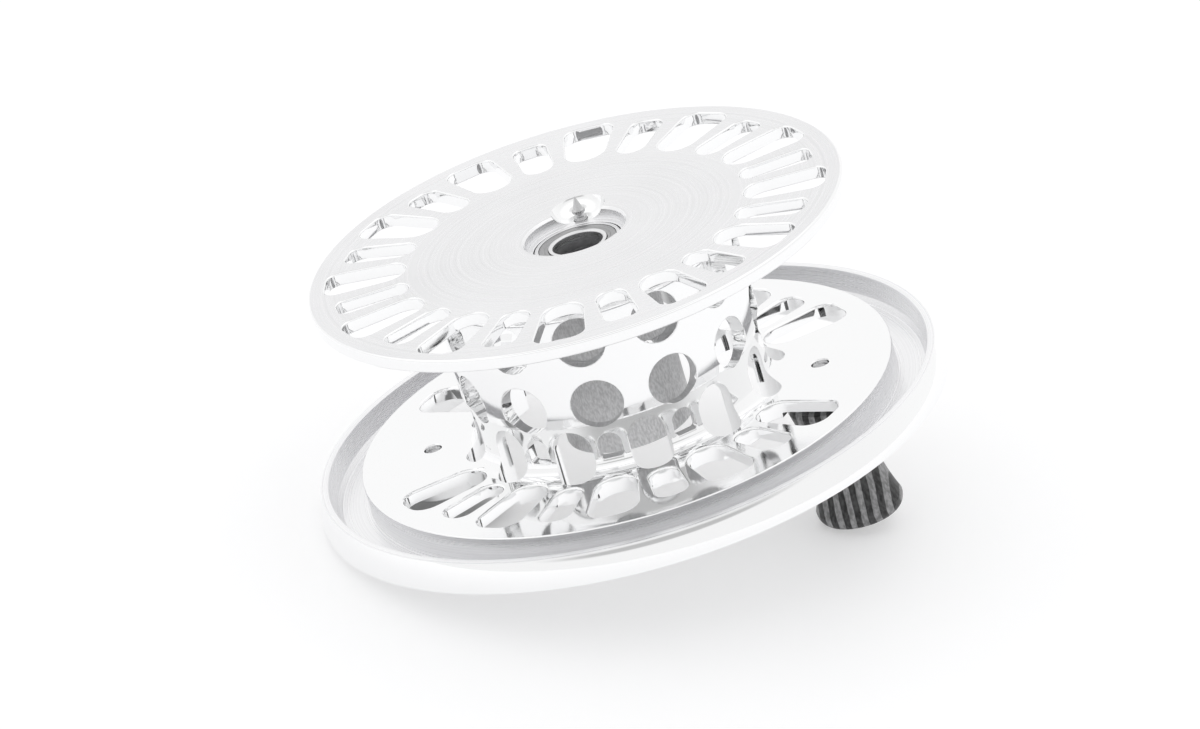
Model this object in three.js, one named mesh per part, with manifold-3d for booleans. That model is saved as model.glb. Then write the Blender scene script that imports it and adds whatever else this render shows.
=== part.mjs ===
// Removable spool of a large-arbor fly-fishing reel, in millimetres.
// +Z is the spool's axis, from the handle side (front flange) to the side that faces the reel frame
// (rear flange). The handle stands at +X and points to -Z. The finished part has its origin on the
// axis, level with the knob's free end. Heights in this file count from the rim's lip, and
// the last lines lift the whole spool by the knob's reach.
import * as THREE from 'three';
import { mergeVertices } from 'three/addons/utils/BufferGeometryUtils.js';
import Module from 'manifold-3d';

// ---- Driving dimensions ----

const rearFlange = { radius: 43.0, topZ: 31.4, undersideZ: 29.3, chamfer: 0.4 };
// The front flange is thicker in a ring round the drum's foot, with seats cut into it for the handle's
// post and the counterweight.
const frontFlange = { radius: 42.85, topZ: 0.5, undersideZ: -1.5, chamfer: 0.25, ringRadius: 27.6, ringZ: -2.4 };
const seatClearance = 0.15;
const channel = { floorZ: -4.25, floorRadius: 47.2, cornerRadius: 47.9, cornerZ: -3.4 };
const rim = { lipInner: 48.5, lipOuter: 49.7, lipDrop: 0.2, bulge: 50.75, bulgeZ: -4.3, sideLowZ: -4.9 };
const rimFoot = { z: -5.4, innerRadius: 41.25, innerChamfer: 0.5, outerRadius: 48.8 };
const arbor = { radius: 24.2, waist: 23.4, bore: 21.7, stepTopZ: 10.7, stepBottomZ: 8.9 };
const flare = { rearRadius: 2.8, frontRadius: 2.8 };
const web = { undersideZ: 28.2, cornerChamfer: 1.0, boreRadius: 7.1, ledgeZ: 29.4, recessRadius: 8.05 };

const portPitch = Math.PI / 12;
const rearPorts = {
  wide: { inner: 27.2, outer: 40.3, innerWidth: 6.6, outerWidth: 8.0, corner: 2.2 },
  narrow: { inner: 27.2, outer: 38.8, innerWidth: 4.8, outerWidth: 5.4, corner: 1.8 },
};
const frontPorts = {
  wide: { inner: 25.6, outer: 39.2, innerWidth: 6.8, outerWidth: 8.0, corner: 3.0 },
  narrow: { inner: 27.2, outer: 37.9, innerWidth: 4.8, outerWidth: 5.2, corner: 2.2 },
};
const arborHole = { radius: 4.12, rows: [12.3, 23.1], count: 12 };
const plunge = { radius: 3.3, centreRadius: 22.95, topZ: 8.1, count: 12 };
const slit = { width: 3.8, bottomZ: 2.8, topZ: 7.0, depth: 5.0 };
const slitAngles = [60, 90, 120, 240, 270, 300];

const hub = { radius: 10.2, frontZ: -2.6, flangeRadius: 11.8, flangeZ: 24.4 };
const hubBore = { seatRadius: 7.06, radius: 6.2 };
const bearing = { bore: 4.0, outer: 7.0, width: 4.0, ballRadius: 0.98, pitch: 5.5, balls: 7, land: 0.78 };
const groove = { clearance: 0.09, degrees: 40 };
const shield = { inset: 0.2, thickness: 0.2, inner: 4.8, outer: 6.22 };
const cage = { inner: 5.15, outer: 5.85, halfWidth: 1.3, pocketClearance: 0.08 };
const rearBearingZ = 27.4;
const frontBearingZ = -0.3;
const spacerWall = 0.7;

const pin = { place: 8.95, stem: 0.8, stemZ: 23.1, collar: 1.3, collarLowZ: 27.3, collarZ: 28.1 };
const pinHead = { radius: 1.05, neck: 0.8, neckLowZ: 29.9, neckTopZ: 30.6, coneZ: 31.2, tipZ: 33.3 };
const pinRingSlope = 0.15;
const pinPocket = { wide: 1.36, stepZ: 24.9, narrow: 1.08, bottomZ: 17.0, clearance: 0.07 };
const spring = { radius: 0.73, wire: 0.12, turns: 5 };
const scoop = { radius: 4.4, floorZ: 29.4 };

const handle = { place: 31.4, holeRadius: 1.4, stud: 1.3, tipZ: -0.2 };
const knob = { topZ: -5.5, topRadius: 6.6, bottomZ: -26.0, bottomRadius: 5.5 };
const knobWaist = { radius: 5.1, z: -16.9, power: 1.5 };
const knobShoulder = { radius: 6.9, z: -6.2 };
const knobBelly = { radius: 7.0, z: -23.9 };
const knobBore = { radius: 3.22, counterbore: 4.4, stepZ: -23.3 };
const post = { shoulderRadius: 4.2, shoulderZ: -4.6, shaftRadius: 2.0, endZ: -23.4 };
const washer = { outer: 4.6, clearance: 0.1 };
const bush = { inner: 2.06, outer: 3.2, length: 5.0 };
const endScrew = { radius: 3.8, headZ: -25.3, socket: 1.7, socketDepth: 0.9 };
const counterweight = { place: 31.4, radius: 5.6, chamfer: 0.5, frontZ: -6.4 };
const weightBore = { radius: 1.45, counterbore: 2.75, step: 1.6 };
const weightScrew = { radius: 2.6, length: 1.4, socket: 1.15, socketDepth: 0.9 };

const fine = 48;
const medium = 24;
const coarse = 20;
const small = 12;
const gap = 0.02;
const overshoot = 1;

// ---- Solids ----

const wasm = await Module();
wasm.setup();

function toSolid(geometry) {
  const bare = geometry.clone();
  bare.deleteAttribute('normal');
  bare.deleteAttribute('uv');
  const merged = mergeVertices(bare, 1e-4);
  const vertProperties = new Float32Array(merged.attributes.position.array);
  const triVerts = new Uint32Array(merged.index.array);
  return new wasm.Manifold(new wasm.Mesh({ numProp: 3, vertProperties, triVerts }));
}

function toGeometry(solid) {
  const mesh = solid.getMesh();
  const geometry = new THREE.BufferGeometry();
  geometry.setAttribute('position', new THREE.BufferAttribute(mesh.vertProperties, 3));
  geometry.setIndex(new THREE.BufferAttribute(mesh.triVerts, 1));
  geometry.computeVertexNormals();
  return geometry;
}

function subtractAll(solid, cutters) {
  return cutters.reduce((rest, cutter) => rest.subtract(cutter), solid);
}

// Turns a closed (radius, height) outline around +Z. The outline runs up the outside, so that the
// faces point out.
function turned(outline, segments = medium) {
  const points = outline.map(([radius, height]) => new THREE.Vector2(radius, height));
  const geometry = new THREE.LatheGeometry(points, segments);
  geometry.rotateX(Math.PI / 2);
  return geometry;
}

function tube(inner, outer, lowZ, highZ, segments = medium) {
  return turned([[inner, lowZ], [outer, lowZ], [outer, highZ], [inner, highZ], [inner, lowZ]], segments);
}

function rod(radius, lowZ, highZ, segments = coarse) {
  return turned([[0, lowZ], [radius, lowZ], [radius, highZ], [0, highZ]], segments);
}

function arc(centreR, centreZ, radius, startDegrees, endDegrees, steps) {
  const points = [];
  for (let i = 0; i <= steps; i += 1) {
    const angle = THREE.MathUtils.degToRad(startDegrees + ((endDegrees - startDegrees) * i) / steps);
    points.push([centreR + radius * Math.cos(angle), centreZ + radius * Math.sin(angle)]);
  }
  return points;
}

// A port's outline along +X: a round inner end that widens to a blunt outer end with round corners.
function portShape({ inner, outer, innerWidth, outerWidth, corner }) {
  const nose = innerWidth / 2;
  const half = outerWidth / 2;
  const shape = new THREE.Shape();
  shape.absarc(inner + nose, 0, nose, Math.PI / 2, (Math.PI * 3) / 2, false);
  shape.absarc(outer - corner, -half + corner, corner, -Math.PI / 2, 0, false);
  shape.absarc(outer - corner, half - corner, corner, 0, Math.PI / 2, false);
  shape.closePath();
  return shape;
}

function portCutter(size, lowZ, highZ, angle) {
  const options = { depth: highZ - lowZ, bevelEnabled: false, curveSegments: 2 };
  const geometry = new THREE.ExtrudeGeometry(portShape(size), options);
  geometry.translate(0, 0, lowZ);
  geometry.rotateZ(angle);
  return toSolid(geometry);
}

// A round cutter that points outwards from the spool's axis at one height.
function radialHoleCutter(radius, height, angle) {
  const wall = arbor.radius - arbor.bore;
  const geometry = new THREE.CylinderGeometry(radius, radius, wall * 3, small);
  geometry.rotateZ(Math.PI / 2);
  geometry.translate(arbor.radius, 0, height);
  geometry.rotateZ(angle);
  return toSolid(geometry);
}

// A ball-ended cutter along +Z that opens the arbor's foot from the front.
function plungeCutter(angle) {
  const { radius, centreRadius, topZ } = plunge;
  const nose = arc(0, topZ - radius, radius, 0, 90, 3);
  nose[nose.length - 1][0] = 0;
  const lowZ = frontFlange.ringZ - overshoot;
  const geometry = turned([[0, lowZ], [radius, lowZ], ...nose], small);
  geometry.translate(centreRadius, 0, 0);
  geometry.rotateZ(angle);
  return toSolid(geometry);
}

// A small arched window through the arbor's foot.
function slitCutter(angle) {
  const half = slit.width / 2;
  const shape = new THREE.Shape();
  shape.moveTo(-half, slit.bottomZ);
  shape.lineTo(half, slit.bottomZ);
  shape.absarc(0, slit.topZ - half, half, 0, Math.PI, false);
  shape.closePath();
  const options = { depth: slit.depth, bevelEnabled: false, curveSegments: 3 };
  const geometry = new THREE.ExtrudeGeometry(shape, options);
  geometry.rotateX(Math.PI / 2);
  geometry.rotateZ(Math.PI / 2);
  geometry.translate(arbor.bore - overshoot, 0, 0);
  geometry.rotateZ(angle);
  return toSolid(geometry);
}

// ---- Spool body ----

// The rim's crowned outside, which bulges furthest at bulgeZ, from its lower edge up to its lip.
function rimSide(steps = 5) {
  const lipZ = -rim.lipDrop;
  const points = [];
  for (let i = 0; i <= steps; i += 1) {
    const z = THREE.MathUtils.lerp(rim.sideLowZ, lipZ, i / steps);
    const t = (z - rim.bulgeZ) / (lipZ - rim.bulgeZ);
    points.push([rim.bulge - (rim.bulge - rim.lipOuter) * t * t, z]);
  }
  return points;
}

function spoolOutline() {
  const rearFlareRadius = arbor.radius + flare.rearRadius;
  const rearFlareZ = rearFlange.undersideZ - flare.rearRadius;
  const frontFlareRadius = arbor.waist + flare.frontRadius;
  const frontFlareZ = frontFlange.topZ + flare.frontRadius;
  return [
    [web.boreRadius, web.undersideZ],
    [arbor.bore - web.cornerChamfer, web.undersideZ],
    [arbor.bore, web.undersideZ - web.cornerChamfer],
    [arbor.bore, frontFlange.ringZ],
    [frontFlange.ringRadius, frontFlange.ringZ],
    [frontFlange.ringRadius, frontFlange.undersideZ],
    [rimFoot.innerRadius, frontFlange.undersideZ],
    [rimFoot.innerRadius, rimFoot.z + rimFoot.innerChamfer],
    [rimFoot.innerRadius + rimFoot.innerChamfer, rimFoot.z],
    [rimFoot.outerRadius, rimFoot.z],
    ...rimSide(),
    [rim.lipInner, 0],
    [channel.cornerRadius, channel.cornerZ],
    [channel.floorRadius, channel.floorZ],
    [frontFlange.radius, channel.floorZ],
    [frontFlange.radius, frontFlange.topZ - frontFlange.chamfer],
    [frontFlange.radius - frontFlange.chamfer, frontFlange.topZ],
    ...arc(frontFlareRadius, frontFlareZ, flare.frontRadius, 270, 180, 3),
    [arbor.waist, arbor.stepBottomZ],
    [arbor.radius, arbor.stepTopZ],
    ...arc(rearFlareRadius, rearFlareZ, flare.rearRadius, 180, 90, 3),
    [rearFlange.radius - rearFlange.chamfer, rearFlange.undersideZ],
    [rearFlange.radius, rearFlange.undersideZ + rearFlange.chamfer],
    [rearFlange.radius, rearFlange.topZ - rearFlange.chamfer],
    [rearFlange.radius - rearFlange.chamfer, rearFlange.topZ],
    [web.recessRadius, rearFlange.topZ],
    [web.recessRadius, web.ledgeZ],
    [web.boreRadius, web.ledgeZ],
    [web.boreRadius, web.undersideZ],
  ];
}

function rearPortCutters() {
  const cutters = [];
  for (let i = 0; i < 24; i += 1) {
    const size = i % 2 === 0 ? rearPorts.wide : rearPorts.narrow;
    const angle = i * portPitch;
    cutters.push(portCutter(size, rearFlange.undersideZ - overshoot, rearFlange.topZ + overshoot, angle));
  }
  return cutters;
}

// The handle's pad and the counterweight's pad, one pitch to each side of 0 and 180 degrees, stay solid.
function frontPortCutters() {
  const plateHighZ = frontFlange.topZ + overshoot;
  const cutters = [];
  for (let i = 0; i < 24; i += 1) {
    const stepsFromPad = Math.min(i % 12, 12 - (i % 12));
    if (stepsFromPad > 1) {
      const size = i % 2 === 0 ? frontPorts.wide : frontPorts.narrow;
      cutters.push(portCutter(size, frontFlange.ringZ - overshoot, plateHighZ, i * portPitch));
    }
  }
  return cutters;
}

function arborCutters() {
  const cutters = [];
  for (let i = 0; i < arborHole.count; i += 1) {
    for (const height of arborHole.rows) {
      cutters.push(radialHoleCutter(arborHole.radius, height, i * 2 * portPitch));
    }
  }
  for (let i = 0; i < plunge.count; i += 1) {
    cutters.push(plungeCutter((2 * i + 1) * portPitch));
  }
  for (const degrees of slitAngles) {
    cutters.push(slitCutter(THREE.MathUtils.degToRad(degrees)));
  }
  return cutters;
}

function axialHole(radius, x, y, lowZ, highZ, segments = coarse) {
  const geometry = rod(radius, lowZ, highZ, segments);
  geometry.translate(x, y, 0);
  return toSolid(geometry);
}

function spoolBody() {
  const pinHole = pinHead.radius + pinPocket.clearance;
  const plateLowZ = frontFlange.undersideZ - overshoot;
  const plateHighZ = frontFlange.topZ + overshoot;
  const seatLowZ = frontFlange.ringZ - overshoot;
  const postSeat = post.shoulderRadius + seatClearance;
  const weightSeat = counterweight.radius + seatClearance;
  const holes = [
    axialHole(postSeat, handle.place, 0, seatLowZ, frontFlange.undersideZ),
    axialHole(weightSeat, -counterweight.place, 0, seatLowZ, frontFlange.undersideZ),
    axialHole(scoop.radius, 0, pin.place, scoop.floorZ, rearFlange.topZ + overshoot),
    axialHole(pinHole, 0, pin.place, web.undersideZ - overshoot, scoop.floorZ + overshoot, small),
    axialHole(handle.holeRadius, handle.place, 0, plateLowZ, plateHighZ, small),
    axialHole(handle.holeRadius, -counterweight.place, 0, plateLowZ, plateHighZ, small),
  ];
  const blank = toSolid(turned(spoolOutline(), fine));
  const windows = [...rearPortCutters(), ...frontPortCutters(), ...arborCutters()];
  return toGeometry(subtractAll(blank, [...windows, ...holes]));
}

// ---- Hub and bearings ----

// The column inside the drum, with a flange under the web, a seat for a bearing at each end and a
// stepped pocket for the drive pin and its spring.
function hubInsert() {
  const { radius, frontZ, flangeRadius, flangeZ } = hub;
  const { seatRadius } = hubBore;
  const topZ = web.undersideZ - gap;
  const rearSeatZ = rearBearingZ - bearing.width / 2 - gap;
  const frontSeatZ = frontBearingZ + bearing.width / 2 + gap;
  const blank = turned([
    [seatRadius, frontZ],
    [radius, frontZ],
    [radius, flangeZ],
    [flangeRadius, flangeZ],
    [flangeRadius, topZ],
    [seatRadius, topZ],
    [seatRadius, rearSeatZ],
    [hubBore.radius, rearSeatZ],
    [hubBore.radius, frontSeatZ],
    [seatRadius, frontSeatZ],
    [seatRadius, frontZ],
  ], 32);
  const wide = axialHole(pinPocket.wide, 0, pin.place, pinPocket.stepZ, topZ + overshoot, small);
  const narrow = axialHole(pinPocket.narrow, 0, pin.place, pinPocket.bottomZ, topZ, small);
  return toGeometry(subtractAll(toSolid(blank), [wide, narrow]));
}

function raceway(startDegrees, endDegrees) {
  return arc(bearing.pitch, 0, bearing.ballRadius + groove.clearance, startDegrees, endDegrees, 3);
}

function outerRing() {
  const { outer, pitch, land } = bearing;
  const half = bearing.width / 2;
  const inner = pitch + land;
  const race = raceway(groove.degrees, -groove.degrees);
  return turned([[inner, -half], [outer, -half], [outer, half], [inner, half], ...race, [inner, -half]]);
}

function innerRing() {
  const { bore, pitch, land } = bearing;
  const half = bearing.width / 2;
  const outer = pitch - land;
  const race = raceway(180 + groove.degrees, 180 - groove.degrees);
  return turned([[bore, -half], [outer, -half], ...race, [outer, half], [bore, half], [bore, -half]]);
}

function bearingShield() {
  return tube(shield.inner, shield.outer, -shield.thickness / 2, shield.thickness / 2);
}

function bearingCage() {
  const band = toSolid(tube(cage.inner, cage.outer, -cage.halfWidth, cage.halfWidth));
  const radius = bearing.ballRadius + cage.pocketClearance;
  const pockets = [];
  for (let i = 0; i < bearing.balls; i += 1) {
    const pocket = new THREE.CylinderGeometry(radius, radius, 2, 8);
    pocket.rotateZ(Math.PI / 2);
    pocket.translate(bearing.pitch, 0, 0);
    pocket.rotateZ((i * 2 * Math.PI) / bearing.balls);
    pockets.push(toSolid(pocket));
  }
  return toGeometry(subtractAll(band, pockets));
}

function bearingBall(index) {
  const ball = new THREE.IcosahedronGeometry(bearing.ballRadius, 1);
  ball.translate(bearing.pitch, 0, 0);
  ball.rotateZ((index * 2 * Math.PI) / bearing.balls);
  return ball;
}

function bearingSpacer() {
  const low = frontBearingZ + bearing.width / 2 + gap;
  const high = rearBearingZ - bearing.width / 2 - gap;
  return tube(bearing.bore, bearing.bore + spacerWall, low, high);
}

// ---- Drive pin ----

// A stem and a collar inside the hub, and a head with a ring and a cone that stands in the scoop.
function drivePin() {
  const { radius, neck, neckLowZ, neckTopZ, coneZ, tipZ } = pinHead;
  const geometry = turned([
    [0, pin.stemZ],
    [pin.stem, pin.stemZ],
    [pin.stem, pin.collarLowZ],
    [pin.collar, pin.collarLowZ],
    [pin.collar, pin.collarZ],
    [radius, pin.collarZ],
    [radius, neckLowZ],
    [neck, neckLowZ + pinRingSlope],
    [neck, neckTopZ - pinRingSlope],
    [radius, neckTopZ],
    [radius, coneZ - pinRingSlope],
    [neck, coneZ],
    [0, tipZ],
  ], small);
  geometry.translate(0, pin.place, 0);
  return geometry;
}

class Helix extends THREE.Curve {
  constructor(radius, lowZ, highZ, turns) {
    super();
    Object.assign(this, { radius, lowZ, highZ, turns });
  }

  getPoint(t, target = new THREE.Vector3()) {
    const angle = t * this.turns * 2 * Math.PI;
    const z = THREE.MathUtils.lerp(this.lowZ, this.highZ, t);
    return target.set(this.radius * Math.cos(angle), this.radius * Math.sin(angle), z);
  }
}

function pinSpring() {
  const { radius, wire, turns } = spring;
  const lowZ = pinPocket.bottomZ + wire + gap;
  const highZ = pin.stemZ - wire - gap;
  const section = new THREE.Shape();
  section.absarc(0, 0, wire, 0, 2 * Math.PI, false);
  const path = new Helix(radius, lowZ, highZ, turns);
  const options = { steps: turns * 12, bevelEnabled: false, curveSegments: 2, extrudePath: path };
  const geometry = new THREE.ExtrudeGeometry(section, options);
  geometry.translate(0, pin.place, 0);
  return geometry;
}

// ---- Handle ----

// The knob's side between its waist and a wider place, from low to high.
function knobFlank(end, steps) {
  const points = [];
  for (let i = 0; i <= steps; i += 1) {
    const t = i / steps;
    const radius = knobWaist.radius + (end.radius - knobWaist.radius) * t ** knobWaist.power;
    points.push([radius, THREE.MathUtils.lerp(knobWaist.z, end.z, t)]);
  }
  return end.z < knobWaist.z ? points.reverse() : points;
}

// The knob's round foot, from its bottom face up to its belly.
function knobFoot(steps) {
  const points = [];
  for (let i = 0; i < steps; i += 1) {
    const angle = (Math.PI / 2) * (i / steps);
    const radius = knob.bottomRadius + (knobBelly.radius - knob.bottomRadius) * Math.sin(angle);
    points.push([radius, knobBelly.z - (knobBelly.z - knob.bottomZ) * Math.cos(angle)]);
  }
  return points;
}

function handleKnob() {
  return turned([
    [knobBore.counterbore, knob.bottomZ],
    ...knobFoot(3),
    ...knobFlank(knobBelly, 3),
    ...knobFlank(knobShoulder, 3).slice(1),
    [knob.topRadius, knob.topZ],
    [knobBore.radius, knob.topZ],
    [knobBore.radius, knobBore.stepZ],
    [knobBore.counterbore, knobBore.stepZ],
    [knobBore.counterbore, knob.bottomZ],
  ], coarse);
}

function handlePost() {
  return turned([
    [0, post.endZ],
    [post.shaftRadius, post.endZ],
    [post.shaftRadius, post.shoulderZ],
    [post.shoulderRadius, post.shoulderZ],
    [post.shoulderRadius, frontFlange.undersideZ - gap],
    [handle.stud, frontFlange.undersideZ - gap],
    [handle.stud, handle.tipZ],
    [0, handle.tipZ],
  ], coarse);
}

function handleWasher() {
  const lowZ = knob.topZ + washer.clearance;
  const highZ = post.shoulderZ - washer.clearance;
  return tube(bush.inner, washer.outer, lowZ, highZ, coarse);
}

function knobBush(highZ) {
  return tube(bush.inner, bush.outer, highZ - bush.length, highZ, coarse);
}

// The screw that closes the post's end and keeps the knob on it, with a hexagonal socket.
function handleScrew() {
  const { radius, headZ, socket, socketDepth } = endScrew;
  const head = toSolid(rod(radius, headZ, post.endZ - gap, coarse));
  return toGeometry(head.subtract(toSolid(rod(socket, headZ - overshoot, headZ + socketDepth, 6))));
}

// ---- Counterweight ----

function counterweightBody() {
  const { radius, chamfer, frontZ } = counterweight;
  const { counterbore, step } = weightBore;
  const backZ = frontFlange.undersideZ - gap;
  return turned([
    [weightBore.radius, frontZ + step],
    [counterbore, frontZ + step],
    [counterbore, frontZ],
    [radius - chamfer, frontZ],
    [radius, frontZ + chamfer],
    [radius, backZ],
    [weightBore.radius, backZ],
    [weightBore.radius, frontZ + step],
  ], coarse);
}

function counterweightScrew() {
  const { radius, length, socket, socketDepth } = weightScrew;
  const seatZ = counterweight.frontZ + weightBore.step - gap;
  const headZ = seatZ - length;
  const body = toSolid(turned([
    [0, headZ],
    [radius, headZ],
    [radius, seatZ],
    [handle.stud, seatZ],
    [handle.stud, handle.tipZ],
    [0, handle.tipZ],
  ], coarse));
  return toGeometry(body.subtract(toSolid(rod(socket, headZ - overshoot, headZ + socketDepth, 6))));
}

// ---- Assembly ----

function metal(colour, roughness) {
  return new THREE.MeshStandardMaterial({ color: colour, roughness, metalness: 1 });
}

const finishes = {
  aluminium: metal(0xe6e7ea, 0.18),
  hubCoat: metal(0x55565a, 0.7),
  bearingSteel: metal(0xc8c9cc, 0.25),
  shieldSteel: metal(0x8e9094, 0.4),
  pinSteel: metal(0x9a9ba0, 0.3),
  bronze: metal(0x9c7a48, 0.45),
  laminate: new THREE.MeshStandardMaterial({ color: 0x3a3a3c, roughness: 0.5, metalness: 0 }),
  nylon: new THREE.MeshStandardMaterial({ color: 0x202022, roughness: 0.6, metalness: 0 }),
};

function piece(name, geometry, material, x = 0, z = 0) {
  const mesh = new THREE.Mesh(geometry, material);
  mesh.name = name;
  mesh.position.set(x, 0, z);
  return mesh;
}

function ballBearing(side, centreZ) {
  const group = new THREE.Group();
  const shieldZ = bearing.width / 2 - shield.inset;
  group.position.z = centreZ;
  group.add(piece(`${side}_bearing_outer_ring`, outerRing(), finishes.bearingSteel));
  group.add(piece(`${side}_bearing_inner_ring`, innerRing(), finishes.bearingSteel));
  group.add(piece(`${side}_bearing_cage`, bearingCage(), finishes.bronze));
  group.add(piece(`${side}_bearing_upper_shield`, bearingShield(), finishes.shieldSteel, 0, shieldZ));
  group.add(piece(`${side}_bearing_lower_shield`, bearingShield(), finishes.shieldSteel, 0, -shieldZ));
  for (let i = 0; i < bearing.balls; i += 1) {
    group.add(piece(`${side}_bearing_ball_${i + 1}`, bearingBall(i), finishes.bearingSteel));
  }
  return group;
}

function handleGroup() {
  const group = new THREE.Group();
  const upperBushZ = knob.topZ - gap;
  const lowerBushZ = knobBore.stepZ + bush.length + gap;
  group.position.x = handle.place;
  group.add(piece('handle_knob', handleKnob(), finishes.laminate));
  group.add(piece('handle_post', handlePost(), finishes.pinSteel));
  group.add(piece('handle_washer', handleWasher(), finishes.nylon));
  group.add(piece('upper_knob_bush', knobBush(upperBushZ), finishes.bronze));
  group.add(piece('lower_knob_bush', knobBush(lowerBushZ), finishes.bronze));
  group.add(piece('handle_screw', handleScrew(), finishes.pinSteel));
  return group;
}

function counterweightGroup() {
  const group = new THREE.Group();
  group.position.x = -counterweight.place;
  group.add(piece('counterweight', counterweightBody(), finishes.aluminium));
  group.add(piece('counterweight_screw', counterweightScrew(), finishes.pinSteel));
  return group;
}

const spool = new THREE.Group();
spool.add(piece('spool_body', spoolBody(), finishes.aluminium));
spool.add(piece('hub_insert', hubInsert(), finishes.hubCoat));
spool.add(ballBearing('rear', rearBearingZ));
spool.add(ballBearing('front', frontBearingZ));
spool.add(piece('bearing_spacer', bearingSpacer(), finishes.bearingSteel));
spool.add(piece('drive_pin', drivePin(), finishes.pinSteel));
spool.add(piece('pin_spring', pinSpring(), finishes.pinSteel));
spool.add(handleGroup());
spool.add(counterweightGroup());
spool.position.z = -knob.bottomZ;

export default spool;
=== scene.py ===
"""Fly reel spool: fine pieces, finishes, floor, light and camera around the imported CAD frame.

Lengths are in millimetres until a mesh is made. Heights are measured from DECK, the level of the
rim's lip, and lifted to the row frame when a mesh is made.
"""
import math
import bmesh
import bpy
import numpy as np
from mathutils import Matrix, Vector

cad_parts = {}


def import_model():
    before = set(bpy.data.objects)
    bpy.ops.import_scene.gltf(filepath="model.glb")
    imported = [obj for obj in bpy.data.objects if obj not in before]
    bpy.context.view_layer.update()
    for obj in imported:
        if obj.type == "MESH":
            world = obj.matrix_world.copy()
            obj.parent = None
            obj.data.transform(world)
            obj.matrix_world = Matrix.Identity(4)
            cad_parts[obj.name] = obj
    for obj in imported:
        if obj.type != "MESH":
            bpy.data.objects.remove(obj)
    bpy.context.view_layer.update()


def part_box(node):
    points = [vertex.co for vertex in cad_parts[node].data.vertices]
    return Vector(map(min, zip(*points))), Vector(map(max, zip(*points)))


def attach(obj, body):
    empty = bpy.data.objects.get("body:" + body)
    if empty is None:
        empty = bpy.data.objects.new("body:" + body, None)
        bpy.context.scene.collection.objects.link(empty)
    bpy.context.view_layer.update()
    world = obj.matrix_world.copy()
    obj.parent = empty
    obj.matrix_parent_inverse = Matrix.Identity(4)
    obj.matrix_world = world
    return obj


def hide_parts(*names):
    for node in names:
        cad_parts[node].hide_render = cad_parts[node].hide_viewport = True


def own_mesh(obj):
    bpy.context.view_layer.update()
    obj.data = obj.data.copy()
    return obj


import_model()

MM = 0.001


def box_mm(node):
    low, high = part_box(node)
    return np.array(low) / MM, np.array(high) / MM


# ---- Driving dimensions ----

body_high = box_mm("spool_body")[1]
knob_low, knob_high = box_mm("handle_knob")
pin_low, pin_high = box_mm("drive_pin")
weight_low, weight_high = box_mm("counterweight")

REAR = dict(radius=43.0, top=31.4, under=29.3)
PLATE = dict(radius=42.85, top=0.5, under=-1.5, ring=27.6, ring_under=-2.4)
CHANNEL = dict(floor=-4.25, floor_radius=47.2, corner_radius=47.9, corner=-3.4)
RIM = dict(lip_inner=48.5, lip_outer=49.7, lip_drop=0.2, bulge=body_high[0], bulge_at=-4.3, side_low=-4.9)
RIM_FOOT = dict(at=-5.4, inner=41.25, outer=48.8)
ARBOR = dict(radius=24.2, waist=23.4, bore=21.7, step_top=10.7, step_low=8.9)
REAR_FLARE, FRONT_FLARE = 2.8, 2.8
WEB = dict(under=28.2, bore=7.1, ledge=29.4, recess=8.05)
DECK = body_high[2] - REAR["top"]

PITCHES = 24                            # port places round a flange, and twice the arbor's holes in a row
PITCH = 2 * math.pi / PITCHES
REAR_WIDE = dict(inner=27.2, outer=40.3, inner_width=6.6, outer_width=8.0, corner=2.2)
REAR_NARROW = dict(inner=27.2, outer=38.8, inner_width=4.8, outer_width=5.4, corner=1.8)
FRONT_WIDE = dict(inner=25.6, outer=39.2, inner_width=6.8, outer_width=8.0, corner=3.0)
FRONT_NARROW = dict(inner=27.2, outer=37.9, inner_width=4.8, outer_width=5.2, corner=2.2)
HOLE_R, HOLE_ROWS = 4.12, (12.3, 23.1)
PLUNGE = dict(radius=3.3, place=22.95, top=8.1)
SLIT = dict(half=1.9, low=2.8, top=7.0, foot=0.6)
SLIT_PLACES = (60, 90, 120, 240, 270, 300)
WALL_INSIDE = ARBOR["bore"] - 2.5       # where the cutters through the arbor's wall start
EDGE = dict(port_low=0.2, rear_port=0.25, front_port=0.4, hole=0.18, slit=0.15, pocket=0.1, bore=0.1,
            stud=0.2, socket=0.12)

HUB = dict(radius=10.2, front=-2.6, flange=11.8, flange_at=24.4, seat=7.06, bore=6.2)
BEARING = dict(bore=4.0, outer=7.0, half=2.0, pitch=5.5, land=0.78, ball=0.98, balls=7, race=1.07)
SHIELD = dict(inner=4.8, outer=6.22, step=5.4, top=1.9, thickness=0.15, drop=0.13)
CAGE = dict(inner=5.15, outer=5.85, half=1.3, pocket=1.06, reach=4.5)
REAR_BEARING, FRONT_BEARING = 27.4, -0.3
GAP = 0.02

PIN_Y = (pin_low[1] + pin_high[1]) / 2
PIN_TIP = pin_high[2] - DECK
PIN = dict(stem=0.8, low=23.1, collar=1.3, collar_low=27.3, collar_top=28.1, head=1.05, neck=0.8)
PIN_GROOVES = (29.9, 31.05)
POCKET = dict(wide=1.36, step=24.9, narrow=1.08, bottom=17.0)
SPRING = dict(radius=0.73, wire=0.12, turns=6.5)
SCOOP = dict(radius=4.4, fillet=3.0)
SEAT_CLEARANCE = 0.15

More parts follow.
